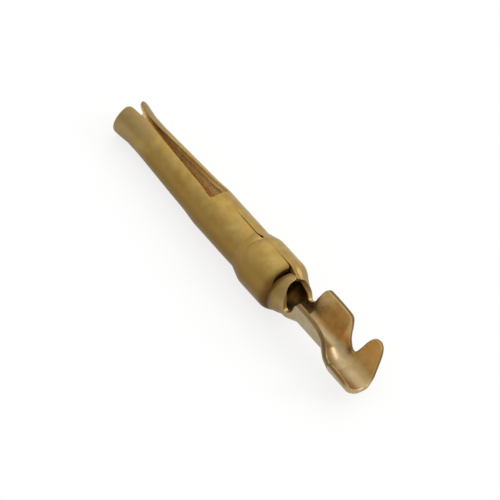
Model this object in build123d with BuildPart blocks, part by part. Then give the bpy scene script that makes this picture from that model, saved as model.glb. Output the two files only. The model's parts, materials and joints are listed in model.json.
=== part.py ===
from build123d import *
import os
from math import acos, atan2, cos, degrees, hypot, pi, sin, sqrt, tan

# Crimp socket contact for a small connector, blanked from one strip of thin brass sheet,
# formed and rolled up, then gold plated. Two spring tines grip a round pin at the front, a
# swelled collar locks in the housing, and two open barrels at the back are crimped on the
# bare wire and on its insulation.
#
# Millimetres. While it is modelled, the rolled axis is the X axis, the mating tip is at
# x = 0, the wire end points to +X, and the seam and the open barrels face +Z.

# Strip
sheet = 0.20

# Tines: outside radii, and the length of each stretch from the tip backwards
tip_r = 0.74
lip_length = 0.13
flare_length = 0.57
throat_r = 0.665
throat_length = 0.60
belly_r = 0.75
taper_length = 1.95
root_r = 0.79
root_length = 0.96
set_length = 0.64
root_to_slot_end = 0.10
tine_width = 1.60
tine_corner_r = 0.16
slot_corner_r = 0.15

# Barrel and retention collar
barrel_r = 0.85
barrel_length = 2.15
collar_r = 1.025
front_shoulder_length = 0.56
collar_length = 1.26
collar_land_width = 0.26
rear_shoulder_length = 0.33
shoulder_r = 0.89
cone_length = 0.50
neck_r = 0.68
neck_tube_length = 0.08
bend_r = 0.30
collar_bend_r = 0.12
bend_share = 0.9

# Seam, and the tear beside it where the collar's rear edge stands off the cone
seam_gap_front = 0.03
seam_gap_rear = 0.09
tear_start = 0.05
tear_width = 0.20
tear_reach = 0.86

# Neck: how far the cone's top edge is cut back, and how low its sides drop
rim_setback = 0.37
rim_corner_z = 0.03
neck_length = 0.52
neck_low_z = -0.07

# Wire barrel
wire_wing_length = 1.49
wire_floor_z = -0.43
wire_floor_r = 0.56
wire_tip_y = 0.81
wire_tip_z = 0.86
wire_front_slope = 0.18
wire_rear_slope = 0.42
wire_corner = 0.14

# Notch between the barrels
notch_length = 0.33
notch_low_z = -0.22
notch_floor_z = -0.58
notch_floor_r = 0.70

# Insulation barrel
insulation_wing_length = 0.72
insulation_floor_z = -0.80
insulation_floor_r = 0.85
insulation_tip_y = 1.26
insulation_tip_z = 0.42
insulation_front_slope = 0.08
insulation_rear_slope = 0.42
insulation_corner = 0.16

# Round corners of the cut edges
edge_r = 0.07

# Cutters reach this far beyond the metal
past_metal = 0.5

# Stations along the axis, added up from the lengths
throat_x = lip_length + flare_length
throat_end_x = throat_x + throat_length
belly_x = throat_end_x + taper_length
root_x = belly_x + root_length
slot_end_x = root_x + set_length + root_to_slot_end
shoulder_x = slot_end_x + barrel_length
collar_x = shoulder_x + front_shoulder_length
collar_end_x = collar_x + collar_length
cone_x = collar_end_x + rear_shoulder_length
cone_end_x = cone_x + cone_length
channel_x = cone_end_x + neck_tube_length
wire_x = channel_x + neck_length
wire_end_x = wire_x + wire_wing_length
notch_x = wire_end_x + wire_rear_slope
insulation_x = notch_x + notch_length
insulation_end_x = insulation_x + insulation_wing_length
rear_x = insulation_end_x + insulation_rear_slope

# The outside of the rolled wall: station, radius, and bend radius at that corner
outside = [
    (0.0, tip_r, None),
    (lip_length, tip_r, bend_r),
    (throat_x, throat_r, 2 * bend_r),
    (throat_end_x, throat_r, 2 * bend_r),
    (belly_x, belly_r, 2 * bend_r),
    (root_x, root_r, 2 * bend_r),
    (root_x + set_length, barrel_r, bend_r),
    (shoulder_x, barrel_r, bend_r),
    (collar_x, collar_r, bend_r),
    (collar_end_x, collar_r, collar_bend_r),
    (cone_x, shoulder_r, bend_r),
    (cone_end_x, neck_r, bend_r),
    (channel_x, neck_r, None),
]


def bend_radius(i):
    """Radius of the bend at corner i of the outside profile.

    It is the one given there, limited by the straight stretches beside the corner. Those
    are shared with the next bend, except the first and the last stretch.
    """
    (x0, r0, _), (x1, r1, bend), (x2, r2, _) = outside[i - 1 : i + 2]
    before = hypot(x1 - x0, r1 - r0) / (1 if i == 1 else 2)
    behind = hypot(x2 - x1, r2 - r1) / (1 if i == len(outside) - 2 else 2)
    turn = abs(atan2(r2 - r1, x2 - x1) - atan2(r1 - r0, x1 - x0))
    return min(bend, bend_share * min(before, behind) / tan(turn / 2))


def outside_radius(x):
    """Outside radius at a station: straight between the corners of the outside profile."""
    for (x0, r0, _), (x1, r1, _) in zip(outside, outside[1:]):
        if x <= x1:
            return r0 + (r1 - r0) * (x - x0) / (x1 - x0)
    return outside[-1][1]


def corner_bite(distance, corner_r):
    """How far a round corner of this radius cuts in, at a distance from the edge."""
    if distance >= corner_r:
        return 0.0
    return corner_r - sqrt(corner_r**2 - (corner_r - distance) ** 2)


def slot_half_angle(x):
    """Half the angle of the gap between the tines, seen along the axis.

    The tine keeps its width in the flat strip, so the gap is what is left of half the
    middle circle. Round corners widen it at the tip and narrow it at the closed end.
    """
    middle_r = outside_radius(x) - sheet / 2
    gap = pi * middle_r - tine_width
    gap += 2 * corner_bite(x, tine_corner_r)
    gap -= 2 * corner_bite(slot_end_x - x, slot_corner_r)
    return gap / (2 * middle_r)


def corner_stations(start, stop, count):
    """Stations along a quarter round, closer together where it turns towards start."""
    return [start + (stop - start) * (1 - cos(pi / 2 * i / count)) for i in range(count)]


# The sheet rolled round the axis: tines, barrel, collar and cone in one wall
with BuildPart() as rolled_wall:
    with BuildSketch(Plane.XZ):
        with BuildLine() as outside_line:
            FilletPolyline(
                *[(x, r) for x, r, _ in outside],
                radius=[bend_radius(i) for i in range(1, len(outside) - 1)],
            )
            offset(amount=sheet, side=Side.RIGHT, closed=True)
        make_face()
    revolve(axis=Axis.X)

# One slot between the tines: a wedge from the axis outwards, open at the tip
slot_stations = [-past_metal]
slot_stations += corner_stations(0.0, tine_corner_r, 4)
slot_stations += [lip_length + sheet, throat_x, throat_end_x, belly_x, root_x]
slot_stations += [slot_end_x - slot_corner_r]
slot_stations += [
    slot_end_x - slot_corner_r * cos(pi / 2 * i / 4) for i in range(1, 5)
]
slot_reach = barrel_r + past_metal
with BuildPart() as slot:
    for x in slot_stations:
        half = slot_half_angle(max(x, 0.0))
        with BuildSketch(Plane.YZ.offset(x)):
            with BuildLine():
                Polyline(
                    (0, 0),
                    (-slot_reach * sin(half), slot_reach * cos(half)),
                    (slot_reach * sin(half), slot_reach * cos(half)),
                    close=True,
                )
            make_face()
    loft(ruled=True)

# The seam, a hairline on the barrel that opens towards the back of the collar
with BuildPart() as seam:
    with BuildSketch(Plane.XY):
        with BuildLine():
            Polyline(
                (slot_end_x - sheet, -seam_gap_front / 2),
                (shoulder_x, -seam_gap_front / 2),
                (collar_end_x, -seam_gap_rear / 2),
                (channel_x + past_metal, -seam_gap_rear / 2),
                (channel_x + past_metal, seam_gap_rear / 2),
                (collar_end_x, seam_gap_rear / 2),
                (shoulder_x, seam_gap_front / 2),
                (slot_end_x - sheet, seam_gap_front / 2),
                close=True,
            )
        make_face()
    extrude(amount=collar_r + past_metal)

# The tear where the collar's rear edge stands off the cone, on one side of the seam
with BuildPart() as tear:
    with BuildSketch(Plane.XY):
        with BuildLine():
            Polyline(
                (collar_end_x + tear_start, 0),
                (collar_end_x + tear_start + tear_width, 0),
                (collar_end_x + tear_start + tear_width / 3, -tear_reach),
                close=True,
            )
        make_face()
    extrude(amount=collar_r + past_metal)


# The narrow land along the back of the collar, left level by the forming tool
collar_land_r = sqrt(collar_r**2 - (collar_land_width / 2) ** 2)
with BuildPart() as below_land:
    with BuildSketch(Plane.XY.offset(-collar_land_r)):
        with Locations(((collar_x + collar_end_x) / 2, 0)):
            Rectangle(collar_length + 2 * sheet, 2 * collar_r)
    extrude(amount=-past_metal)


def wall_corners(floor_z, floor_r, tip_y, tip_z):
    """Corners of one side wall of the bent strip, in the section's own y and z.

    The section is a round floor with a straight wall each side, tangent to it. floor_r and
    floor_z are the outside radius and the lowest point of the floor, and the wall ends at
    its outer tip. In order: outer foot, outer tip, inner tip, inner foot.
    """
    centre_z = floor_z + floor_r
    reach = sqrt(tip_y**2 + (tip_z - centre_z) ** 2)
    lean = atan2(tip_z - centre_z, tip_y) - acos(floor_r / reach)
    out_y, out_z = cos(lean), sin(lean)
    inside_r = floor_r - sheet
    return [
        (floor_r * out_y, centre_z + floor_r * out_z),
        (tip_y, tip_z),
        (tip_y - sheet * out_y, tip_z - sheet * out_z),
        (inside_r * out_y, centre_z + inside_r * out_z),
    ]


# The open channel behind the neck, with its walls left tall all the way
neck_section = (-neck_r, neck_r, neck_r, neck_r)
wire_section = (wire_floor_z, wire_floor_r, wire_tip_y, wire_tip_z)
notch_section = (
    notch_floor_z,
    notch_floor_r,
    (wire_tip_y + insulation_tip_y) / 2,
    (wire_tip_z + insulation_tip_z) / 2,
)
insulation_section = (
    insulation_floor_z,
    insulation_floor_r,
    insulation_tip_y,
    insulation_tip_z,
)
with BuildPart() as channel:
    for x, section in [
        (channel_x, neck_section),
        (wire_x, wire_section),
        (wire_end_x, wire_section),
        (notch_x, notch_section),
        (insulation_x, insulation_section),
        (rear_x, insulation_section),
    ]:
        wall = wall_corners(*section)
        opposite_wall = [(-y, z) for y, z in reversed(wall)]
        floor_z = section[0]
        with BuildSketch(Plane.YZ.offset(x)):
            with BuildLine():
                ThreePointArc(opposite_wall[-1], (0, floor_z), wall[0])
                Polyline(*wall)
                ThreePointArc(wall[-1], (0, floor_z + sheet), opposite_wall[0])
                Polyline(*opposite_wall)
            make_face()
    loft(ruled=True)

# The blank's edge seen from the side, drawn as what is trimmed off above it: over the
# cone's rim and the neck, between the two barrels, and behind the insulation wings
sky_z = max(wire_tip_z, insulation_tip_z) + past_metal
rim_top_x = cone_end_x - rim_setback
neck_trim = [
    (rim_top_x, sky_z),
    (rim_top_x - sheet / 4, neck_r),
    (rim_top_x + rim_setback / 2, neck_r * 0.68),
    (cone_end_x - rim_setback / 6, neck_r * 0.32),
    (cone_end_x, rim_corner_z),
    (cone_end_x + neck_length * 0.4, neck_low_z),
    (wire_x - wire_front_slope * 1.4, rim_corner_z),
    (wire_x - wire_front_slope, wire_tip_z * 0.3),
    (wire_x - wire_front_slope * 0.6, wire_tip_z * 0.6),
    (wire_x, wire_tip_z - wire_corner / 2),
    (wire_x + wire_corner, wire_tip_z + sheet),
    (wire_x + wire_corner, sky_z),
]
notch_trim = [
    (wire_end_x - wire_corner * 2, sky_z),
    (wire_end_x - wire_corner * 2, wire_tip_z + sheet / 2),
    (wire_end_x, wire_tip_z * 0.78),
    (wire_end_x + wire_rear_slope * 0.2, wire_tip_z * 0.46),
    (wire_end_x + wire_rear_slope * 0.6, wire_tip_z * 0.08),
    (notch_x, notch_low_z * 0.9),
    (notch_x + notch_length * 0.4, notch_low_z),
    (notch_x + notch_length * 0.8, notch_low_z / 2),
    (insulation_x, insulation_tip_z * 0.3),
    (insulation_x + insulation_front_slope, insulation_tip_z - insulation_corner / 2),
    (insulation_x + insulation_corner * 1.6, insulation_tip_z + sheet),
    (insulation_x + insulation_corner * 1.6, sky_z),
]
rear_trim = [
    (insulation_end_x - insulation_corner, sky_z),
    (insulation_end_x - insulation_corner, insulation_tip_z + sheet),
    (insulation_end_x, insulation_tip_z * 0.6),
    (insulation_end_x + insulation_rear_slope * 0.4, insulation_floor_z * 0.3),
    (insulation_end_x + insulation_rear_slope * 0.8, insulation_floor_z * 0.7),
    (rear_x, insulation_floor_z),
    (rear_x + past_metal, insulation_floor_z),
    (rear_x + past_metal, sky_z),
]
with BuildPart() as trimmed_off:
    with BuildSketch(Plane.XZ):
        for trim in (neck_trim, notch_trim, rear_trim):
            with BuildLine():
                FilletPolyline(*trim, radius=edge_r)
                Line(trim[-1], trim[0])
            make_face()
    extrude(amount=insulation_tip_y + past_metal, both=True)

# The finished strip, still lying along the X axis
with BuildPart() as formed:
    add(rolled_wall.part)
    add(slot.part, mode=Mode.SUBTRACT)
    add(slot.part, rotation=(180, 0, 0), mode=Mode.SUBTRACT)
    add(seam.part, mode=Mode.SUBTRACT)
    add(tear.part, mode=Mode.SUBTRACT)
    add(below_land.part, mode=Mode.SUBTRACT)
    add(channel.part)
    add(trimmed_off.part, mode=Mode.SUBTRACT)

# It comes to rest on the front end of the collar's land and on the two lower corners of the
# tip, so the nose points slightly down. Its own middle, at the surface, becomes the origin.
tip_rest = tip_r * cos(slot_half_angle(lip_length))
nose_down = degrees(atan2(collar_land_r - tip_rest, collar_x - lip_length))
with BuildPart() as laid_down:
    add(formed.part, rotation=(0, -nose_down, 0))
box = laid_down.part.bounding_box()
with BuildPart() as contact_body:
    with Locations((-box.center().X, -box.center().Y, -box.min.Z)):
        add(laid_down.part)
contact_body.part.label = "contact_body"

os.makedirs("parts", exist_ok=True)
export_step(contact_body.part, "parts/contact_body.step")

print("Overall length along the axis:", round(rear_x, 2))
print("Nose down by, in degrees:", round(nose_down, 5))
print("Axis origin in the part's frame:", -box.center().X, -box.center().Y, -box.min.Z)
print("Volume in cubic millimetres:", round(contact_body.part.volume, 3))
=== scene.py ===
# %% [markdown]
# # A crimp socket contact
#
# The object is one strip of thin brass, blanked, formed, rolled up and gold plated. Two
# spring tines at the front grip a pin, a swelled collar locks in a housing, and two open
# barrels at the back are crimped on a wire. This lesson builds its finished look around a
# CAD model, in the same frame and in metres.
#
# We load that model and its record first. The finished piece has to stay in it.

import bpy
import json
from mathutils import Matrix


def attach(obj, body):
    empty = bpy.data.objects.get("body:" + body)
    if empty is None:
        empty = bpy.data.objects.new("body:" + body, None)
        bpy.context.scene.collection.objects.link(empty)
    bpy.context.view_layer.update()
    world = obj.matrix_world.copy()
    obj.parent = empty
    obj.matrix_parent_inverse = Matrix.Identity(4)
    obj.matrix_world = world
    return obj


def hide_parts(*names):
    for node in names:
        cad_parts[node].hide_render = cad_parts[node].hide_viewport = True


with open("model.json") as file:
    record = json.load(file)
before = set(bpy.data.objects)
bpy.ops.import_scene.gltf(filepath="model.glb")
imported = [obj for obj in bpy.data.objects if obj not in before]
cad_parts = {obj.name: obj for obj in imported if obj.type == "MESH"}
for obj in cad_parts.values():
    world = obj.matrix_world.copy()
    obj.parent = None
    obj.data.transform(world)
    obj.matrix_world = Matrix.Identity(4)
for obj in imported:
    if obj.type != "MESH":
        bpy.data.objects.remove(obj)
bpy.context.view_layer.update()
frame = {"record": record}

import json
from math import acos, atan2, cos, pi, radians, sin, sqrt

import bpy
import numpy as np
from mathutils import Matrix, Vector

MM = 0.001

# %% [markdown]
# ## Where the rolled axis lies
#
# The contact lies on a table, nose down by a few degrees, resting on its collar and its tip.
# It is far easier to shape it along a straight axis and lay it down at the end. We could
# measure that axis on the mesh, but the part's record already states two things about it: the
# middle of the plain barrel, and its direction towards the tip.
#
# From here on, a station x is counted in millimetres along that axis, from the tip backwards.

# %% The contact's own axis, from the record
mounts = {mount["name"]: mount for mount in frame["record"]["mounts"]}
BARREL_START = 4.95
BARREL_LENGTH = mounts["barrel"]["dims"]["length_mm"]

backward = -Vector(mounts["barrel"]["axis"]).normalized()
upward = backward.cross(Vector((0, 1, 0))).normalized()
barrel_middle = Vector(mounts["barrel"]["pos_m"]) / MM
axis_start = barrel_middle - backward * (BARREL_START + BARREL_LENGTH / 2)
turned = np.array([backward, (0, 1, 0), upward])


def lay_down(points):
    """Axis coordinates to the part's frame, in metres.

    A point becomes start + x * backward + y * sideways + z * upward.
    """
    return (np.asarray(points) @ turned + np.array(axis_start)) * MM


print("tip of the axis in mm:", [round(v, 3) for v in axis_start])
print("its direction:", [round(v, 5) for v in backward])

# %% [markdown]
# ## The forming of the sheet
#
# The real contact starts as a flat blank, so we build it the way it was made. Every point of
# the blank has a station x along the strip and a distance q across it, measured from the
# middle of its back. One function bends that point to where it ends up. Because the sheet
# isn't stretched, widths and edges come out as the tool would make them, and every corner of
# the sheet stays as thick as the rest.
#
# A revolved profile would do for the barrel, but not for the way that the tube opens into a
# channel behind the neck. A formula for the whole strip does both without a joint.

# %% Sizes of the rolled part, in millimetres
SHEET = 0.20
THROAT_R = mounts["pin_socket"]["dims"]["r_mm"] + SHEET
BARREL_R = mounts["barrel"]["dims"]["r_mm"]
COLLAR_R = mounts["collar"]["dims"]["r_mm"]

# station and outside radius
rolled_profile = np.array([
    (0.00, 0.740),
    (0.13, 0.740),
    (0.70, THROAT_R),
    (1.30, THROAT_R),
    (3.25, 0.750),
    (4.21, 0.790),
    (4.85, BARREL_R),
    (7.10, BARREL_R),
    (7.66, COLLAR_R),
    (8.94, COLLAR_R),
    (9.07, 0.975),
    (9.37, 0.795),
    (9.60, 0.685),
    (9.85, 0.670),
])
print("outside radii in mm:", THROAT_R, "at the throat,", BARREL_R, "barrel,", COLLAR_R, "collar")

# %% Sizes of the open channel behind it
NECK_X, NECK_R = 9.83, 0.68
WIRE_X, WIRE_END_X = 10.35, 11.84
WIRE_FLOOR_Z, WIRE_FLOOR_R = -0.43, 0.56
WIRE_TIP_Y, WIRE_TIP_Z = 0.81, 0.86
NOTCH_X, NOTCH_FLOOR_Z, NOTCH_FLOOR_R, NOTCH_TURN = 12.22, -0.69, 0.75, 80.0
INSULATION_X, REAR_X = 12.60, 13.73
INSULATION_FLOOR_Z, INSULATION_FLOOR_R = -0.81, 0.86
INSULATION_TIP_Y, INSULATION_TIP_Z = 1.26, 0.42


def wall_turn(floor_z, floor_r, tip_y, tip_z):
    """Angle in degrees, from straight down, at which a round floor ends and its straight wall starts.

    The wall is the tangent from the wing's tip to the floor's circle.
    """
    rise = tip_z - (floor_z + floor_r)
    return 90 + np.degrees(atan2(rise, tip_y) - acos(floor_r / sqrt(tip_y**2 + rise**2)))


wire_turn = wall_turn(WIRE_FLOOR_Z, WIRE_FLOOR_R, WIRE_TIP_Y, WIRE_TIP_Z)
insulation_turn = wall_turn(
    INSULATION_FLOOR_Z, INSULATION_FLOOR_R, INSULATION_TIP_Y, INSULATION_TIP_Z)

# station, the floor's outside radius, its lowest point, and where the wall turns straight
channel_profile = np.array([
    (NECK_X, NECK_R, -NECK_R, 90.0),
    (WIRE_X, WIRE_FLOOR_R, WIRE_FLOOR_Z, wire_turn),
    (WIRE_END_X, WIRE_FLOOR_R, WIRE_FLOOR_Z, wire_turn),
    (NOTCH_X, NOTCH_FLOOR_R, NOTCH_FLOOR_Z, NOTCH_TURN),
    (INSULATION_X, INSULATION_FLOOR_R, INSULATION_FLOOR_Z, insulation_turn),
    (REAR_X, INSULATION_FLOOR_R, INSULATION_FLOOR_Z, insulation_turn),
])
print("walls turn straight at", round(wire_turn, 1), "and", round(insulation_turn, 1), "degrees")

# %% Rounded profiles and smooth steps
TUBE_ROUNDING, CHANNEL_ROUNDING = 0.12, 0.10


def eased(t):
    """A step from 0 to 1 that starts and ends level: 3 t^2 - 2 t^3."""
    t = np.clip(t, 0, 1)
    return t * t * (3 - 2 * t)


def ramp(x, start, end):
    """A smooth step that is 0 at start and 1 at end, which may lie on either side of it."""
    return eased((x - start) / (end - start))


def hump(x, middle, width):
    """A bell round the middle, from 1 down to almost nothing at twice the width."""
    return np.exp(-(((x - middle) / width) ** 2))


def rounded(x, table, column, reach):
    """A broken line with rounded corners: its average over a bell of the given reach round x."""
    offsets = np.linspace(-1, 1, 9)
    bell = np.cos(offsets * pi / 2) ** 2
    values = [np.interp(x + offset * reach, table[:, 0], table[:, column]) for offset in offsets]
    return np.average(values, axis=0, weights=bell)


def middle_radius(x):
    """Radius of the middle of the sheet where it is a tube: the rounded profile less half the sheet."""
    return rounded(x, rolled_profile, 1, TUBE_ROUNDING) - SHEET / 2


print("middle of the barrel's sheet in mm from the axis:", round(float(middle_radius(6.0)), 3))

# %% [markdown]
# ## The groove, the tear and the faults of forming
#
# Behind the collar the sheet had to shrink to a cone in a very short way. On the near side it
# folded into a sharp groove there, and beside the seam it tore. Where the barrel swells to the
# collar, the lip of the seam stands up and the wall has a crease.
#
# Such marks could be sculpted into the mesh, or painted as bump. We write each as a small move
# in or out, a product of steps and bells in x and in the distance from the seam, and add them
# to the radius. Then they bend with the sheet, and the outline shows them too.

# %% The groove and the tear behind the collar
TEAR_X, TEAR_REACH, TEAR_STEEPNESS = 9.00, 0.95, 2.2
COLLAR_LIP_R = 1.005
GROOVE_X, GROOVE_ROUNDING = 8.75, 0.03
GROOVE_FULL, GROOVE_END = 1.50, 2.50

# station and outside radius, in the groove and behind the tear
groove_profile = np.array([
    (8.90, 1.022),
    (8.96, 0.995),
    (9.05, 0.865),
    (9.14, 0.842),
    (9.30, 0.838),
    (9.45, 0.780),
    (9.60, 0.700),
    (9.85, 0.670),
])
cone_edge_profile = np.array([
    (TEAR_X, 0.850),
    (9.30, 0.835),
    (9.60, 0.700),
    (9.85, 0.670),
])


def distance_from_seam(q, middle_r):
    """Distance along the sheet from the middle of the seam: half the circle less the half width."""
    return pi * middle_r - np.abs(q)


def groove_depth(q, middle_r):
    """How far the groove is sunk, from 1 near the seam to 0 low on the near side."""
    return ramp(distance_from_seam(q, middle_r), GROOVE_END, GROOVE_FULL) * (q < 0)


def tear_depth(q, middle_r):
    """How far a place lies inside the tear, from 0 at its tip to 1 at the seam."""
    return eased(TEAR_STEEPNESS * (1 - distance_from_seam(q, middle_r) / TEAR_REACH)) * (q < 0)


def torn(x, q, behind, middle_r):
    """Behind the collar the near wall drops into a groove, and beside the seam it is torn.

    In front of the tear the wall runs on level, behind it the cone starts low. Both fade out
    with the distance from the seam. The result is a move in or out from the untorn wall.
    """
    groove_r = rounded(x, groove_profile, 1, GROOVE_ROUNDING) - SHEET / 2
    sunk = groove_depth(q, middle_r) * (groove_r - middle_r) * ramp(x, GROOVE_X, GROOVE_X + 0.10)
    cone_edge_r = np.interp(x, cone_edge_profile[:, 0], cone_edge_profile[:, 1])
    goal = np.where(behind, cone_edge_r, COLLAR_LIP_R) - SHEET / 2
    at_tear = tear_depth(q, middle_r) * ramp(x, TEAR_X - 0.20, TEAR_X) * ramp(x, 9.8, 9.4)
    return sunk + at_tear * (goal - middle_r - sunk)


print("from the seam, the tear reaches", TEAR_REACH, "mm and the groove", GROOVE_END, "mm")

# %% Dents, ripples, lip, crease and ridges
SOFT_DENT, FINE_RIPPLE = 0.0035, 0.0016
LIP_HEIGHT, DRAWN_IN = 0.030, 0.020
CREASE_X, CREASE_RISE, CREASE_FALL = 7.34, 0.034, 0.026
RIDGE_HEIGHT, RIDGE_SPACING = 0.028, 0.36


def waviness(x, q):
    """Dents and ripples a few thousandths of a millimetre deep, as rolled thin sheet has them.

    Each is a product of two slanted sine waves. They start behind the tines.
    """
    soft = SOFT_DENT * np.sin(2.1 * x + 1.7 * q + 0.6) * np.sin(1.3 * x - 2.3 * q)
    fine = FINE_RIPPLE * np.sin(5.3 * x - 3.1 * q + 2.0) * np.sin(3.7 * x + 4.9 * q)
    return (soft + fine) * ramp(x, 3.8, 5.3)


def seam_marks(x, q, middle_r):
    """Moves in or out beside the seam, each a product of bells and steps.

    The near lip stands a little high up to the crease, where it steps down to the collar, and
    the far wall was drawn in there. Ridges beside the seam end behind the collar.
    """
    from_seam = distance_from_seam(q, middle_r)
    at_lip = hump(from_seam, 0.0, 0.25)
    lip = LIP_HEIGHT * (q < 0) * at_lip * hump(x, 6.95, 0.75) * (x < CREASE_X)
    past_crease = ramp(x, CREASE_X - 0.03, CREASE_X + 0.03)
    rise = CREASE_RISE * ramp(x, 6.95, 7.25) * (1 - past_crease)
    fall = CREASE_FALL * past_crease * ramp(x, 7.62, 7.37)
    crease = (q < 0) * ramp(from_seam, 0.95, 0.35) * (rise - fall)
    drawn_in = -DRAWN_IN * (q > 0) * at_lip * hump(x, 7.0, 0.5)
    wave = np.cos(from_seam * 2 * pi / RIDGE_SPACING)
    ridges = RIDGE_HEIGHT * (q > 0) * wave * hump(from_seam, 0.30, 0.5) * hump(x, 9.18, 0.28)
    return lip + crease + drawn_in + ridges


print("ridges beside the seam:", RIDGE_HEIGHT, "mm high and", RIDGE_SPACING, "mm apart")

# %% The forming function
OPENING_START, OPENING_END = 9.70, 9.90
ROUND_ALL_THE_WAY = 1.2 * pi
TWIST_FRONT = -4.0


def form(x, q, behind=False):
    """Bends a point of the flat blank to its place on the middle of the sheet.

    In the tube the point turns round the axis by q / radius. Behind the neck it turns round
    the floor's own centre, and past the angle where the wall is straight it runs on along the
    tangent. The front part is rolled a few degrees further round the axis than the crimps.
    Where behind is set, the point is on the cone's side of the tear, or else on the collar's.
    """
    middle_r = middle_radius(x)
    floor_r = rounded(x, channel_profile, 1, CHANNEL_ROUNDING) - SHEET / 2
    floor_z = rounded(x, channel_profile, 2, CHANNEL_ROUNDING) + SHEET / 2
    turn = np.radians(rounded(x, channel_profile, 3, CHANNEL_ROUNDING))

    opening = ramp(x, OPENING_START, OPENING_END)
    radius = middle_r + opening * (floor_r - middle_r)
    centre = opening * (floor_z + floor_r)
    straight_from = ROUND_ALL_THE_WAY + ramp(x, 9.75, 10.25) * (turn - ROUND_ALL_THE_WAY)
    angle = np.minimum(np.abs(q) / radius, straight_from)
    beyond = np.abs(q) - radius * angle

    marks = torn(x, q, behind, middle_r) + seam_marks(x, q, middle_r)
    moved_r = radius + waviness(x, q) + (1 - opening) * marks
    y = np.sign(q) * (moved_r * np.sin(angle) + beyond * np.cos(angle))
    z = centre - moved_r * np.cos(angle) + beyond * np.sin(angle)

    twist = np.radians(TWIST_FRONT) * ramp(x, 10.4, 7.9)
    twisted_y = y * np.cos(twist) - z * np.sin(twist)
    twisted_z = z * np.cos(twist) + y * np.sin(twist)
    return np.stack([x + 0 * y, twisted_y, twisted_z], axis=-1)


def outward(x, q, behind=False):
    """The sheet's unit normal: the cross product of its two directions, found by small steps."""
    step = 1e-4
    along = form(x + step, q, behind) - form(x - step, q, behind)
    across_it = form(x, q + step, behind) - form(x, q - step, behind)
    normal = np.cross(across_it, along)
    return normal / np.linalg.norm(normal, axis=-1, keepdims=True)


print("back of the barrel, bent from q = 0:", form(6.0, 0.0).round(3))

# %% [markdown]
# ## The outline of the blank
#
# The press cuts the outline from the flat strip: two slots that leave two tines, the arch
# over the neck, the waist, and the wings of the two crimp barrels. We describe it in the flat
# strip too, as half widths at stations, and let a smooth curve round its corners. The grid's
# rows then bend with the outline, so that its edge is clean and needs no cutting.
#
# The two sides aren't alike. The near wire wing is a little lower and shorter than the far
# one, and the near wing of the last barrel sits a little further back.

# %% Slots between the tines
EDGE_ROUND = 0.03
TINE_WIDTH, TINE_CORNER = 1.60, 0.16
SLOT_CORNER = 0.15


def corner_bite(distance, corner):
    """How far a quarter round cuts in at a distance from the edge: r - sqrt(r^2 - (r - d)^2)."""
    inside = corner - np.clip(distance, 0, corner)
    return corner - np.sqrt(np.maximum(corner**2 - inside**2, 0))


def slot_half(x, middle_r):
    """Half the slot in the grid: half of what one tine leaves of half the middle circle.

    Its corners are rounded, and the room for the edge's own rounding is added to it.
    """
    half = (pi * middle_r - TINE_WIDTH) / 2 + EDGE_ROUND
    at_tip = corner_bite(x - EDGE_ROUND, TINE_CORNER)
    at_closed_end = corner_bite(BARREL_START + EDGE_ROUND - x, SLOT_CORNER)
    return half + at_tip - at_closed_end


throat_slot = 2 * (slot_half(1.0, middle_radius(1.0)) - EDGE_ROUND)
print("slot at the throat in mm:", round(float(throat_slot), 3))

# %% Half widths of the strip from the arch to the rear end
ARCH_X = 9.35

# station and half width, on both sides up to the waist and then on each side
arch_points = [
    (9.41, 2.00),
    (9.45, 1.79),
    (9.53, 1.52),
    (9.63, 1.27),
    (9.74, 1.07),
    (9.81, 0.91),
    (9.90, 0.80),
    (10.02, 0.76),
    (10.14, 0.83),
]
far_points = np.array(arch_points + [
    (10.22, 1.02),
    (10.28, 1.28),
    (10.40, 1.53),
    (10.66, 1.54),
    (11.10, 1.54),
    (11.52, 1.53),
    (11.81, 1.49),
    (11.97, 1.28),
    (12.05, 1.02),
    (12.13, 0.84),
    (12.26, 0.75),
    (12.38, 0.75),
    (12.46, 0.86),
    (12.51, 1.12),
    (12.56, 1.46),
    (12.71, 1.73),
    (12.95, 1.78),
    (13.17, 1.67),
    (13.33, 1.40),
    (13.46, 1.05),
    (13.61, 0.62),
    (13.715, 0.30),
])
near_points = np.array(arch_points + [
    (10.21, 1.00),
    (10.27, 1.22),
    (10.38, 1.41),
    (10.62, 1.43),
    (11.10, 1.42),
    (11.42, 1.38),
    (11.62, 1.27),
    (11.75, 1.08),
    (11.85, 0.92),
    (11.96, 0.80),
    (12.10, 0.78),
    (12.28, 0.81),
    (12.44, 0.83),
    (12.57, 0.88),
    (12.66, 1.06),
    (12.74, 1.36),
    (12.86, 1.62),
    (13.04, 1.74),
    (13.26, 1.72),
    (13.45, 1.58),
    (13.57, 1.30),
    (13.64, 0.96),
    (13.685, 0.62),
    (13.715, 0.30),
])
for side, outline in (("far", far_points), ("near", near_points)):
    print(side, "wings reach", outline[len(arch_points):, 1].max(), "mm from the middle of the back")


# %% The curve that rounds the corners of the outline
def smooth_curve(points, per_span=12):
    """A quadratic spline through the middles of the legs, which rounds every corner.

    It runs past the first and the last point by half a leg.
    """
    ends = np.vstack([2 * points[0] - points[1], points, 2 * points[-1] - points[-2]])
    before, here, after = ends[:-2, None], ends[1:-1, None], ends[2:, None]
    t = np.linspace(0, 1, per_span, endpoint=False)[None, :, None]
    spans = 0.5 * (1 - t) ** 2 * before + (0.5 + t - t * t) * here + 0.5 * t**2 * after
    return spans.reshape(-1, points.shape[1])


print("points on the far cut edge:", len(smooth_curve(far_points)))

# %% [markdown]
# ## The grid of the sheet
#
# Two parameters cover the strip: rows from the tip to the rear, square to the axis, and columns
# across it. Rows lie closer where the wall bends sharply or the outline runs across the strip.
# All rows share the columns, so the tines, the closed ends of the slots and the tube meet point
# to point. Cells that fall in a slot are left out, and the row at the tear is there twice, once
# for the collar's lip and once for the cone's edge.

# %% Stations of the rows
SPACING = 0.045
TURN_STEPS = np.linspace(0, pi / 2, 9)


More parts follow.
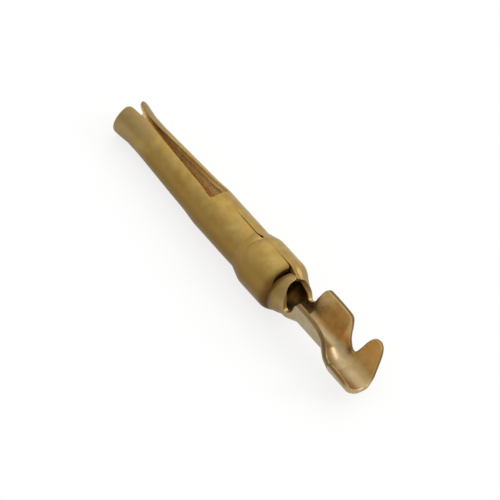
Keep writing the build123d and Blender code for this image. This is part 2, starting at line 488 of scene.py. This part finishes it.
def stations(start, end):
    """Stations from start to end, closer at the crease and the groove.

    The share 1 / spacing is summed along the way, and the sum is cut into equal steps.
    """
    x = np.linspace(start, end, 2000)
    closer = 0.65 * hump(x, CREASE_X, 0.12) + 0.7 * hump(x, TEAR_X + 0.03, 0.13)
    walked = np.concatenate([[0], np.cumsum(np.diff(x) / (SPACING * (1 - closer))[1:])])
    return np.interp(np.linspace(0, walked[-1], int(walked[-1]) + 2), walked, x)


slot_end = BARREL_START + EDGE_ROUND
tip_stations = EDGE_ROUND + TINE_CORNER * (1 - np.cos(TURN_STEPS))
slot_end_stations = slot_end - SLOT_CORNER * np.cos(TURN_STEPS)
between = slot_end_stations[0] - tip_stations[-1]
middle_stations = np.linspace(tip_stations[-1], slot_end_stations[0], int(between / SPACING))
tine_x = np.concatenate([tip_stations, middle_stations[1:-1], slot_end_stations])
tube_x = stations(slot_end, TEAR_X)[1:]
cone_x = stations(TEAR_X, ARCH_X)
print("rows:", len(tine_x), "along the tines,", len(tube_x), "on the tube,", len(cone_x), "on the cone")

# %% Columns, the same in every row
SEAM_COLUMNS, TINE_COLUMNS, SLOT_COLUMNS = 7, 35, 14

tine_starts = slot_half(tine_x, middle_radius(tine_x))[-1] / (pi * middle_radius(slot_end))
half_share = np.concatenate([
    np.linspace(0, tine_starts, SLOT_COLUMNS // 2 + 1),
    np.linspace(tine_starts, 1 - tine_starts, TINE_COLUMNS + 1)[1:],
    np.linspace(1 - tine_starts, 1, SEAM_COLUMNS + 1)[1:],
])
first_tine = SLOT_COLUMNS // 2
last_tine = first_tine + TINE_COLUMNS
print("half a row has", len(half_share), "columns; a tine lies between", first_tine, "and", last_tine)

# %% The seam
# station, half the gap, and the share of the full edge rounding
seam_table = np.array([
    (4.90, 0.001, 0.12),
    (5.80, 0.002, 0.20),
    (6.30, 0.012, 1.00),
    (7.00, 0.025, 1.00),
    (7.22, 0.060, 1.00),
    (7.36, 0.060, 1.00),
    (7.42, 0.003, 0.25),
    (8.05, 0.003, 0.25),
    (8.35, 0.004, 0.35),
    (8.80, 0.012, 0.60),
    (9.40, 0.025, 1.00),
])


def seam_half(x):
    """Half of what the seam leaves open in the grid: its gap and its edge's rounding."""
    gap, share = (np.interp(x, seam_table[:, 0], seam_table[:, column]) for column in (1, 2))
    return gap + EDGE_ROUND * share


def up_to_seam(x):
    """Half width of a row that ends at the seam."""
    return pi * middle_radius(x) - seam_half(x)


print("seam's widest gap in mm:", 2 * seam_table[:, 1].max())


# %% Rows of the tines and the tube
def across(inner, outer, count):
    """Columns of every row between two half widths, evenly: inner + v * (outer - inner)."""
    v = np.linspace(0, 1, count + 1)
    return inner[:, None] + v * (outer - inner)[:, None]


def tube_rows(x, behind):
    """Rows square to the axis, up to the seam on both sides.

    They are four arrays: stations, q on the far side, q on the near side, and 1 behind the tear.
    """
    half = up_to_seam(x)[:, None] * half_share
    return x[:, None] + 0 * half, half, half, np.full_like(half, behind)


slot_edge = slot_half(tine_x, middle_radius(tine_x))
seam_edge = pi * middle_radius(tine_x) - slot_edge
tine_q = np.hstack([
    across(0 * slot_edge, slot_edge, SLOT_COLUMNS // 2),
    across(slot_edge, seam_edge, TINE_COLUMNS)[:, 1:],
    across(seam_edge, up_to_seam(tine_x), SEAM_COLUMNS)[:, 1:],
])
tine_rows = (tine_x[:, None] + 0 * tine_q, tine_q, tine_q, 0 * tine_q)
tine_width = np.median(seam_edge - slot_edge) + 2 * EDGE_ROUND
print("width of a tine in mm:", round(float(tine_width), 3))

# %% Rows of the open part, which end on the outline
WING_ROUND = 0.080


def edge_rounding(x):
    """Radius of the cut edge: small up to the wire wings, larger on the last ones, where it is coined."""
    larger = 0.3 * ramp(x, 9.8, 10.2) + 0.7 * ramp(x, 11.6, 12.4)
    return EDGE_ROUND + (WING_ROUND - EDGE_ROUND) * larger


def inset(curve, distance):
    """The curve moved towards the middle of the strip, square to its own direction."""
    direction = np.gradient(curve, axis=0)
    direction /= np.linalg.norm(direction, axis=1, keepdims=True)
    return curve - distance * np.stack([-direction[:, 1], direction[:, 0]], axis=1)


def cut_edge(outline):
    """The smooth outline from the end of the seam to the rear, moved in by its edge's own rounding."""
    curve = smooth_curve(outline)
    curve = inset(curve, edge_rounding(curve[:, :1]))
    runs_backward = (np.diff(curve[:, 0]) > 0).all() and curve[0, 0] > ARCH_X
    print("the cut edge always runs backward:", bool(runs_backward))
    return np.vstack([[ARCH_X, up_to_seam(ARCH_X)], curve])


def open_rows():
    """Rows square to the axis, so close that neither edge moves by more than the spacing between two."""
    far_cut, near_cut = cut_edge(far_points), cut_edge(near_points)
    x = np.linspace(ARCH_X, min(far_cut[-1, 0], near_cut[-1, 0]), 6000)
    far, near = (np.interp(x, curve[:, 0], curve[:, 1]) for curve in (far_cut, near_cut))
    step = np.hypot(np.diff(x), np.maximum(np.abs(np.diff(far)), np.abs(np.diff(near))))
    walked = np.concatenate([[0], np.cumsum(step)])
    at = np.linspace(0, walked[-1], int(walked[-1] / SPACING) + 1)[1:]
    x, far, near = (np.interp(at, walked, values)[:, None] for values in (x, far, near))
    return x + 0 * half_share, far * half_share, near * half_share, 1 + 0 * x * half_share


# %% The whole grid, front to back and side to side
row_x, far_q, near_q, row_behind = (np.vstack(part) for part in zip(
    tine_rows, tube_rows(tube_x, 0), tube_rows(cone_x, 1), open_rows()))
tear_row = len(tine_x) + len(tube_x) - 1

grid_x = np.hstack([row_x[:, :0:-1], row_x])
grid_q = np.hstack([-near_q[:, :0:-1], far_q])
grid_behind = np.hstack([row_behind[:, :0:-1], row_behind]) > 0.5
rows, cols = grid_x.shape
print("grid of", rows, "rows and", cols, "columns")

# %% The tear opens between two copies of one row
TEAR_GAP, TEAR_GAP_AT_SEAM = 0.02, 0.09
FADE_IN_FRONT, FADE_BEHIND = 0.15, 0.40

depth = tear_depth(grid_q, middle_radius(grid_x))
near_seam = ramp(distance_from_seam(grid_q, middle_radius(grid_x)), 0.8, 0.1)
gap = TEAR_GAP * depth + TEAR_GAP_AT_SEAM * near_seam
in_front = np.clip(1 - (TEAR_X - grid_x) / FADE_IN_FRONT, 0, 1) * ~grid_behind
at_back = np.clip(1 - (grid_x - TEAR_X) / FADE_BEHIND, 0, 1) * grid_behind
grid_x = grid_x - in_front * EDGE_ROUND * depth + at_back * depth * (EDGE_ROUND + gap)
print("widest gap at the tear in mm:", round(float((gap * depth).max()), 3))

# %% Which cells are metal
ids = np.arange(rows * cols).reshape(rows, cols)
untorn = depth[tear_row] <= 0
ids[tear_row + 1, untorn] = ids[tear_row, untorn]

from_middle = np.abs(np.arange(cols) - cols // 2)
cell_inner = np.minimum(from_middle[:-1], from_middle[1:])
cell_outer = np.maximum(from_middle[:-1], from_middle[1:])
metal = np.ones((rows - 1, cols - 1), bool)
metal[: len(tine_x) - 1] = (cell_inner >= first_tine) & (cell_outer <= last_tine)
metal[tear_row] = False
cells = np.stack([ids[:-1, :-1], ids[:-1, 1:], ids[1:, 1:], ids[1:, :-1]], axis=-1)[metal]
print("cells of metal:", len(cells))

# %% [markdown]
# ## Thickness and sheared edges
#
# The grid is the middle of the sheet. The press shears the blank, so its real edges are bands
# as thick as the sheet, a little rounded where they meet the faces. We move the grid half a
# thickness out and half a thickness in, find the open edge of the grid, and close it with
# rings of points that follow that rounded profile. A Solidify and a Bevel modifier would come
# close, but would leave no say in how the tear closes at its tip.

# %% Points, normals and the open edge
points = form(grid_x, grid_q, grid_behind).reshape(-1, 3)
normals = outward(grid_x, grid_q, grid_behind).reshape(-1, 3)
count = len(points)

# an edge that only one cell has is open, and runs round the metal in one direction
heads = cells.reshape(-1)
tails = np.roll(cells, -1, axis=1).reshape(-1)
key = np.minimum(heads, tails) * count + np.maximum(heads, tails)
_, first, times = np.unique(key, return_index=True, return_counts=True)
rim, edge_to = heads[first[times == 1]], tails[first[times == 1]]
following, leading = np.full(count, -1), np.full(count, -1)
following[rim] = edge_to
leading[edge_to] = rim
print("points on the cut edge:", len(rim), "in closed rounds:", bool((leading[rim] >= 0).all()))

# %% The profile of the edge, from the outer face to the inner one
ROUND_STEPS = 4
COINED, LEAD_IN = 0.07, 0.35

turn_steps = np.linspace(0, pi / 2, ROUND_STEPS + 1)
reach_out = np.concatenate([np.sin(turn_steps), np.sin(turn_steps)[::-1]])
lean_up = np.concatenate([np.cos(turn_steps), -np.cos(turn_steps)[::-1]])


def inner_half(x):
    """From the middle of the sheet to its inner face: less at the tip, where the mouth is coined."""
    return SHEET / 2 - COINED * ramp(x, LEAD_IN, 0)


to_inner = inner_half(grid_x).ravel()
rim_round = edge_rounding(grid_x.ravel()[rim])
half_sheet = np.where(lean_up[:, None] > 0, SHEET / 2, -to_inner[rim])
height = half_sheet - np.sign(lean_up)[:, None] * (1 - np.abs(lean_up))[:, None] * rim_round
print("rings of points on the edge, between the two faces:", len(reach_out) - 2)

# %% How far the edge stands out: less along the tight seam, and not at all at the tear's tip
rim_share = np.ones(count)
seam_places = np.zeros((rows, cols), bool)
seam_places[len(tine_x):tear_row + len(cone_x), [0, -1]] = True
rim_share[seam_places.ravel()] = np.interp(grid_x[seam_places], seam_table[:, 0], seam_table[:, 2])
rim_share[ids[tear_row, ~untorn]] = depth[tear_row, ~untorn]
rim_share[ids[tear_row + 1, ~untorn]] = depth[tear_row, ~untorn]
rim_share[ids[tear_row, np.flatnonzero(untorn)[0]]] = 0

along_rim = points[following[rim]] - points[leading[rim]]
away = np.cross(along_rim, normals[rim])
away /= np.maximum(np.linalg.norm(away, axis=1, keepdims=True), 1e-9)
ring_points = (points[rim][None]
               + away[None] * reach_out[:, None, None] * (rim_round * rim_share[rim])[None, :, None]
               + normals[rim][None] * height[:, :, None])
ring_normals = away[None] * reach_out[:, None, None] + normals[rim][None] * lean_up[:, None, None]
print("points of the edge with its full rounding:", int((rim_share[rim] == 1).sum()), "of", len(rim))

# %% Number the points and join them
used = np.zeros(count, bool)
used[cells] = True
total = used.sum()
outer_of = np.cumsum(used) - 1
inner_of = outer_of + total
rings = len(reach_out)
ring_of = np.full((rings, count), -1)
ring_of[0, rim] = outer_of[rim]
ring_of[-1, rim] = inner_of[rim]
ring_of[1:-1, rim] = 2 * total + np.arange((rings - 2) * len(rim)).reshape(rings - 2, -1)

band = np.stack([ring_of[:-1, edge_to], ring_of[:-1, rim],
                 ring_of[1:, rim], ring_of[1:, edge_to]], axis=-1).reshape(-1, 4)
faces = np.vstack([outer_of[cells], inner_of[cells][:, ::-1], band])
shell_points = np.vstack([
    points[used] + normals[used] * SHEET / 2,
    points[used] - normals[used] * to_inner[used, None],
    ring_points[1:-1].reshape(-1, 3),
])
shell_normals = np.vstack([normals[used], -normals[used], ring_normals[1:-1].reshape(-1, 3)])
shell_normals /= np.linalg.norm(shell_normals, axis=1, keepdims=True)
print("contact:", len(shell_points), "points,", len(faces), "faces of four corners")

# %% Put it into a mesh
# the forming tool left a narrow level land along the back of the collar, and it lies on that
LAND_R = 1.0167


def sheet_mesh(name, verts, quads, vertex_normals):
    """A mesh object at the origin from arrays of points and four-cornered faces, shaded smooth."""
    mesh = bpy.data.meshes.new(name)
    mesh.vertices.add(len(verts))
    mesh.vertices.foreach_set("co", np.asarray(verts, np.float32).ravel())
    mesh.loops.add(quads.size)
    mesh.loops.foreach_set("vertex_index", quads.astype(np.int32).ravel())
    mesh.polygons.add(len(quads))
    mesh.polygons.foreach_set("loop_start", np.arange(0, quads.size, 4, dtype=np.int32))
    mesh.polygons.foreach_set("use_smooth", np.ones(len(quads), bool))
    mesh.update(calc_edges=True)
    mesh.validate()
    mesh.normals_split_custom_set_from_vertices(vertex_normals)
    piece = bpy.data.objects.new(name, mesh)
    bpy.context.scene.collection.objects.link(piece)
    return piece


shell_points[:, 2] = np.maximum(shell_points[:, 2], -LAND_R)
resting = lay_down(shell_points)
resting[:, 2] = np.maximum(resting[:, 2], 0)
contact = sheet_mesh("socket_contact", resting, faces, shell_normals @ turned)

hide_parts("contact_body")
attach(contact, "root")
print(contact.name, "is", round(float(np.ptp(resting[:, 0])) / MM, 3), "mm long as it lies")

# %% [markdown]
# ## Where the finish differs
#
# The plating isn't even: rich inside the socket, thin and pale outside on the crimps, and dull
# at the tip and on the cone. Some marks are painted light and shade: darker along the near side,
# in the groove and beside the step, an orange reflection at a wing's foot and a paler glint on the
# step. Each such place is easy to tell on the blank, by its station and its distance from the middle of
# the back or from the seam.
#
# We could paint a texture, but a number at every point does as well, because the points lie
# close. We work each number out from the point's place on the blank, and the material lays one
# tone over another by them. The blank's own map is stored too, for patterns along the sheet.


# %% Places on the blank, for every point of the mesh
def for_all_points(on_grid):
    """A value of the grid for the mesh's points: outer face, inner face, then the rings of the edge."""
    flat = on_grid.ravel()
    return np.concatenate([flat[used], flat[used], np.tile(flat[rim], rings - 2)])


blank_x, blank_q = for_all_points(grid_x), for_all_points(grid_q)
corners = faces.ravel()
blank_map = contact.data.uv_layers.new(name="blank")
blank_map.data.foreach_set(
    "uv", np.stack([blank_x[corners], blank_q[corners]], axis=1).astype(np.float32).ravel())

ring_inner = np.repeat((lean_up[1:-1] < 0) * 1.0, len(rim))
is_inner = np.concatenate([np.zeros(total), np.ones(total), ring_inner])
on_edge = np.concatenate([np.zeros(2 * total), np.repeat(reach_out[1:-1] ** 4, len(rim))])
from_seam = distance_from_seam(blank_q, middle_radius(blank_x))
at_tip = ramp(blank_x, 2.2, 0.6)
in_socket = ramp(blank_x, BARREL_START + 0.5, BARREL_START)
on_cone = hump(blank_x, 9.45, 0.35) * (1 - is_inner)
in_crimps = ramp(blank_x, 9.3, 10.3)
at_rear = ramp(blank_x, 11.8, 12.3)
print("flat blank in mm:", np.ptp(blank_x).round(2), "long and", np.ptp(blank_q).round(2), "wide")


# %% Marks for the material to read
def mark(piece, name, values):
    """Stores one number for each point, under a name that the material reads."""
    layer = piece.data.attributes.new(name, "FLOAT", "POINT")
    layer.data.foreach_set("value", np.asarray(values, np.float32))
    print(name, "goes from", round(float(values.min()), 2), "to", round(float(values.max()), 2))


# the gold is rich inside the socket and the wire barrel, and thin inside the last one
crimp_gold = in_crimps * (0.90 - 0.75 * at_rear) * (1 - 0.4 * hump(np.abs(blank_q), 1.6, 0.4))
mark(contact, "thick_gold", is_inner * np.maximum(0.9 * in_socket, crimp_gold))

# sheared edges show on the open part, and hardly on the tines and at the rear end
open_part = 0.15 + 0.85 * ramp(blank_x, 9.9, 10.2)
mark(contact, "sheared", on_edge * open_part * ramp(blank_x, 13.60, 13.50))

# outside, pale brass shows through on the crimps, and a little at the tip and on the cone
see_through = np.maximum(np.maximum(in_crimps, 0.30 * at_tip), 0.25 * on_cone)
mark(contact, "bare", see_through * (1 - is_inner))

# the floor of the crimps is burnished paler; the extra bell where it steps down is a painted highlight
burnished_and_painted_glint = hump(blank_q, -0.10, 0.95 - 0.25 * at_rear) * (1 + 0.9 * hump(blank_x, 12.03, 0.22))
mark(contact, "burnished_and_painted_glint", in_crimps * is_inner * burnished_and_painted_glint)

# the gold is dull at the tip and on the cone; the darker band along the near side is painted shade
near_side_shade = hump(blank_q / middle_radius(blank_x), -1.50, 0.62)
near_side_shade = near_side_shade * ramp(blank_x, 0.6, 2.1) * ramp(blank_x, 10.2, 9.2)
mark(contact, "dull_and_near_shade", np.maximum(np.maximum(near_side_shade, 0.7 * on_cone), 0.8 * at_tip))

# painted shade: darker in the groove and beside the step, where shade falls
groove_shade = hump(blank_x, 9.06, 0.18) * ramp(from_seam, 3.1, 2.3) * (blank_q < 0) * (1 - is_inner)
step_shade = 0.8 * hump(blank_x, 12.26, 0.16) * hump(blank_q, 0.68, 0.18) * is_inner
mark(contact, "painted_shade", np.maximum(groove_shade, step_shade))

# a painted orange reflection at the foot of the far wire wing, and a faint copper tone on the last wings
wing_foot_reflection = 0.9 * hump(blank_x, 11.88, 0.15) * hump(blank_q, 0.73, 0.16)
last_wings = 0.35 * at_rear * hump(np.abs(blank_q), 1.40, 0.55)
mark(contact, "copper_and_painted_reflection", np.maximum(wing_foot_reflection, last_wings) * is_inner)

# %% [markdown]
# ## The finish: satin gold over brass
#
# The contact is brass with a thin, slightly dull gold plating. It is all metal, so its colour
# is in its reflections and there is no painted layer. The strip was rolled and drawn
# lengthwise, which leaves fine lines along it, and barrel plating leaves soft blotches. Those
# patterns follow the sheet, so they are read from the blank's own map, in millimetres.
#
# Noise in the room's coordinates would be simpler, but its lines would run straight through
# the bends instead of following them.


# %% Colour and node helpers
def hex_to_linear(code):
    """An sRGB hex colour as linear red, green, blue and alpha, by the sRGB curve."""
    parts = [int(code[i : i + 2], 16) / 255 for i in (1, 3, 5)]
    return [v / 12.92 if v <= 0.04045 else ((v + 0.055) / 1.055) ** 2.4 for v in parts] + [1.0]


def add_node(tree, kind, inputs=None, **settings):
    """Adds a node, sets its properties, and sets or links its inputs by name or number."""
    node = tree.nodes.new(kind)
    for name, value in settings.items():
        setattr(node, name, value)
    for name, value in (inputs or {}).items():
        if isinstance(value, bpy.types.NodeSocket):
            tree.links.new(value, node.inputs[name])
        else:
            node.inputs[name].default_value = value
    return node


print("middle grey, #808080, is", round(hex_to_linear("#808080")[0], 3), "in linear light")


# %% Gold plating
def gold_plating():
    """Satin gold over brass: a mid gloss, with soft blotches and fine lines.

    Sheared edges are matter and browner, because the plating hardly holds there.
    """
    material = bpy.data.materials.new("satin_gold_plating")
    material.use_nodes = True
    tree = material.node_tree
    tree.nodes.clear()
    blank = add_node(tree, "ShaderNodeUVMap", uv_map="blank").outputs["UV"]
    thick, sheared, bare, burnished_and_painted_glint, dull_and_near_shade, painted_shade, copper_and_painted_reflection = (
        add_node(tree, "ShaderNodeAttribute", attribute_name=name).outputs["Fac"]
        for name in ("thick_gold", "sheared", "bare", "burnished_and_painted_glint", "dull_and_near_shade", "painted_shade", "copper_and_painted_reflection"))

    def blend(factor, first, second):
        """One colour laid over another by a factor; a colour is a hex code or a socket."""
        colours = [hex_to_linear(c) if isinstance(c, str) else c for c in (first, second)]
        mixed = add_node(tree, "ShaderNodeMix", {"A": colours[0], "B": colours[1]}, data_type="RGBA")
        tree.links.new(factor, mixed.inputs["Factor"])
        return mixed.outputs["Result"]

    def noise(vector, scale, detail):
        """Cloudy noise round 0.5, with features of about 1 / scale in the vector's own unit."""
        return add_node(tree, "ShaderNodeTexNoise", {
            "Vector": vector, "Scale": scale, "Detail": detail}).outputs["Fac"]

    def patches(scale, low, high):
        """Soft patches of about 1 / scale millimetres, as a number that runs from low to high."""
        return add_node(tree, "ShaderNodeMapRange", {
            "Value": noise(blank, scale, 3.0), "From Min": 0.35, "From Max": 0.65,
            "To Min": low, "To Max": high}).outputs["Result"]

    # blotches of about 1 mm in warmth, and smaller ones in depth of colour
    tone = blend(patches(0.9, 0.0, 1.0), "#B08E4A", "#B59D5E")
    tone = blend(patches(2.6, 0.0, 0.5), tone, "#A18241")

    # the tones of the marked places, with blotches of 0.3 mm over all but the last three
    # painted shade along the near side, where less light falls; at the tip and on the cone this tone is
    # dull gold
    tone = blend(dull_and_near_shade, tone, "#846832")
    tone = blend(bare, tone, "#B7A781")
    tone = blend(thick, tone, "#EFCD90")
    # the crimps' floor is burnished paler, and the extra paleness at the step is a painted highlight
    tone = blend(burnished_and_painted_glint, tone, "#B5A17B")
    tone = blend(patches(3.4, 0.0, 0.27), tone, "#8E6A34")
    # painted shade in the groove behind the collar and beside the step between the crimps
    tone = blend(painted_shade, tone, "#583C1A")
    # painted orange reflection at the far wire wing's foot; on the last wings a faint copper tone
    tone = blend(copper_and_painted_reflection, tone, "#DA9248")
    tone = blend(sheared, tone, "#7A6340")

    roughness = add_node(tree, "ShaderNodeMath", {
        0: sheared, 1: 0.10, 2: patches(0.9, 0.36, 0.44)}, operation="MULTIPLY_ADD").outputs["Value"]

    # draw lines 0.05 mm apart, the finest that show at this size, and grains of 0.1 mm
    stretched = add_node(tree, "ShaderNodeMapping", {
        "Vector": blank, "Scale": (0.6, 20.0, 1.0)}).outputs["Vector"]
    drawn = add_node(tree, "ShaderNodeBump", {
        "Height": noise(stretched, 1.0, 2.0), "Strength": 0.25, "Distance": 0.00001}).outputs["Normal"]
    pitted = add_node(tree, "ShaderNodeBump", {
        "Height": noise(blank, 9.0, 4.0), "Strength": 0.12, "Distance": 0.00001,
        "Normal": drawn}).outputs["Normal"]
    shader = add_node(tree, "ShaderNodeBsdfPrincipled", {
        "Base Color": tone, "Metallic": 1.0, "Roughness": roughness, "Normal": pitted})
    add_node(tree, "ShaderNodeOutputMaterial", {"Surface": shader.outputs["BSDF"]})
    return material


contact.data.materials.append(gold_plating())
print("nodes in the plating:", len(contact.data.materials[0].node_tree.nodes))

# %% [markdown]
# ## Floor, light and camera
#
# The contact lies on a plain white floor under soft light from all round. A metal shows what is
# around it, so the room matters more than the lamps: a pale sky, brightest overhead and on the
# far side. One large lamp overhead draws a soft line along the tube, and a smaller one behind
# puts a glint on the step between the crimps, which a painted paler tone there makes larger.
#
# A white floor in the contact's shadow looks grey, while the photograph's is almost white there.
# More light would burn out the gold, so the floor gets a share of plain white instead.

# %% Floor
FLOOR_SIZE = 2.0
LIFTED = 0.78


def paper_floor():
    """White paper with a share of plain white: to the camera, and half as much in reflections.

    That share lifts the shadow, which stays, but softer.
    """
    material = bpy.data.materials.new("matt_white_paper")
    material.use_nodes = True
    tree = material.node_tree
    tree.nodes.clear()
    paper = add_node(tree, "ShaderNodeBsdfDiffuse", {"Color": hex_to_linear("#F7F7F6")}).outputs["BSDF"]
    white = add_node(tree, "ShaderNodeEmission", {"Color": hex_to_linear("#FFFFFF"), "Strength": 1.0})
    path = add_node(tree, "ShaderNodeLightPath").outputs
    seen = add_node(tree, "ShaderNodeMath", {
        0: path["Is Glossy Ray"], 1: 0.5, 2: path["Is Camera Ray"]}, operation="MULTIPLY_ADD")
    share = add_node(tree, "ShaderNodeMath", {0: seen.outputs["Value"], 1: LIFTED}, operation="MULTIPLY")
    both = add_node(tree, "ShaderNodeMixShader", {
        0: share.outputs["Value"], 1: paper, 2: white.outputs["Emission"]})
    add_node(tree, "ShaderNodeOutputMaterial", {"Surface": both.outputs["Shader"]})

    half = FLOOR_SIZE / 2
    floor_corners = [(-half, -half, 0), (half, -half, 0), (half, half, 0), (-half, half, 0)]
    mesh = bpy.data.meshes.new("floor")
    mesh.from_pydata(floor_corners, [], [(0, 1, 2, 3)])
    mesh.materials.append(material)
    floor = bpy.data.objects.new("floor", mesh)
    bpy.context.scene.collection.objects.link(floor)


paper_floor()
print("floor:", FLOOR_SIZE, "m wide")


# %% Sky and lamps
def sky(dim, bright, towards):
    """A pale sky that brightens evenly towards one side, and plain white to the camera.

    The brightness is dim + (bright - dim) * ((1 + direction . towards) / 2) ^ 2.
    """
    world = bpy.data.worlds.new("studio")
    bpy.context.scene.world = world
    world.use_nodes = True
    tree = world.node_tree
    tree.nodes.clear()
    seen = add_node(tree, "ShaderNodeLightPath").outputs["Is Camera Ray"]
    direction = add_node(tree, "ShaderNodeTexCoord").outputs["Generated"]
    facing = add_node(tree, "ShaderNodeVectorMath", {
        0: direction, 1: Vector(towards).normalized()}, operation="DOT_PRODUCT").outputs["Value"]
    half = add_node(tree, "ShaderNodeMath", {
        0: facing, 1: 0.5, 2: 0.5}, operation="MULTIPLY_ADD").outputs["Value"]
    share = add_node(tree, "ShaderNodeMath", {0: half, 1: 2.0}, operation="POWER").outputs["Value"]
    strength = add_node(tree, "ShaderNodeMath", {
        0: share, 1: bright - dim, 2: dim}, operation="MULTIPLY_ADD").outputs["Value"]
    light, white = (
        add_node(tree, "ShaderNodeBackground", {
            "Color": hex_to_linear("#FFFFFF"), "Strength": power}).outputs["Background"]
        for power in (strength, 1.0))
    both = add_node(tree, "ShaderNodeMixShader", {0: seen, 1: light, 2: white})
    add_node(tree, "ShaderNodeOutputWorld", {"Surface": both.outputs["Shader"]})


def soft_lamp(name, place, size, watts):
    """A square lamp of a size at a place, both in metres, that faces the contact."""
    lamp = bpy.data.lights.new(name, "AREA")
    lamp.size = size
    lamp.energy = watts
    thing = bpy.data.objects.new(name, lamp)
    thing.location = place
    thing.rotation_euler = (-Vector(place)).to_track_quat("-Z", "Y").to_euler()
    bpy.context.scene.collection.objects.link(thing)
    print(name, "lamp:", watts, "W from", round(Vector(place).length, 2), "m away")


sky(dim=0.56, bright=1.16, towards=(-0.27, 0.42, 0.87))
soft_lamp("key", place=(-0.14, 0.14, 0.40), size=0.40, watts=0.12)
soft_lamp("rear", place=(0.26, 0.29, 0.33), size=0.20, watts=0.52)

# %% Camera at the photograph's viewing angle
VIEW_AZIMUTH, VIEW_ELEVATION, VIEW_ROLL = 37.67, 46.13, 20.44
VIEW_DISTANCE = 0.5
VIEW_WIDTH = 0.017385
AIM_AT = (7.033, 0.015, -0.043)
SENSOR = 36.0


def photo_camera():
    """A long lens from the photograph's side, rolled as the photograph is.

    The focal length is sensor * distance / width, so that the frame is as wide as the
    photograph's at the contact. The point that it aims at is in axis coordinates.
    """
    a, e, roll = radians(VIEW_AZIMUTH), radians(VIEW_ELEVATION), radians(VIEW_ROLL)
    back = Vector((sin(a) * cos(e), -cos(a) * cos(e), sin(e)))
    level = Vector((cos(a), sin(a), 0))
    right = level * cos(roll) + back.cross(level) * sin(roll)
    up = back.cross(right)
    camera = bpy.data.cameras.new("photo_camera")
    camera.sensor_width = SENSOR
    camera.lens = SENSOR * VIEW_DISTANCE / VIEW_WIDTH
    camera.clip_start = 0.01
    thing = bpy.data.objects.new("photo_camera", camera)
    stand = Vector(lay_down(AIM_AT)) + back * VIEW_DISTANCE
    thing.matrix_world = Matrix((
        (right.x, up.x, back.x, stand.x),
        (right.y, up.y, back.y, stand.y),
        (right.z, up.z, back.z, stand.z),
        (0, 0, 0, 1)))
    bpy.context.scene.collection.objects.link(thing)
    bpy.context.scene.camera = thing
    print("focal length in mm:", round(camera.lens))


photo_camera()
bpy.context.scene.view_settings.view_transform = "Standard"
